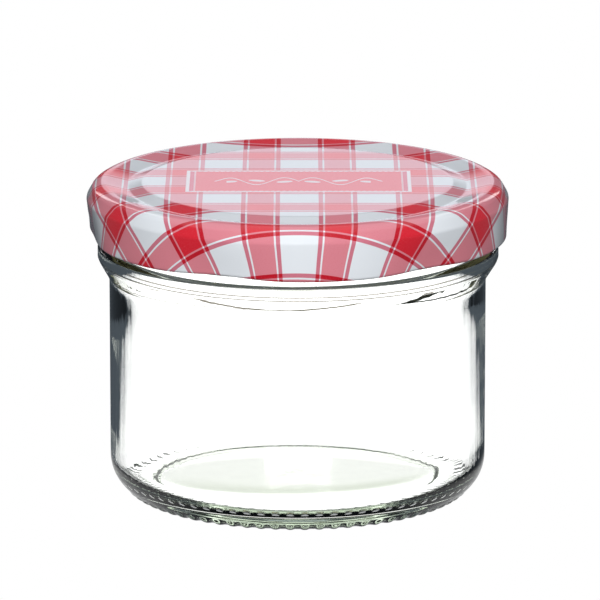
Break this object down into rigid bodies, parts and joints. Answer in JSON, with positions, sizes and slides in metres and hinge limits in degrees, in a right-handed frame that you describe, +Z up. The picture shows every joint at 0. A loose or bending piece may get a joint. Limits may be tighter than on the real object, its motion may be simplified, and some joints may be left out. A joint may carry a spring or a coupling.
{
  "type": "preserving jar",
  "caption": "Squat cylindrical clear glass jar with a flared bead at the neck, a knurled bearing ring and a printed twist-off metal lid, closed and empty.",
  "frame": {"origin": "centre of the base, on the plane that the bearing ring stands on", "axes": "+Z up along the jar's axis; -Y is the side that faces the camera of the picture, +X is to its right"},
  "size_m": [0.0856, 0.0856, 0.0645],
  "materials": {
    "glass": "smooth moulded soda-lime glass, faintly green",
    "lid": "pressed tinplate with a glossy red and white gingham print"
  },
  "bodies": {
    "root": {"jar_glass": "glass", "lid": "lid"}
  },
  "joints": []
}
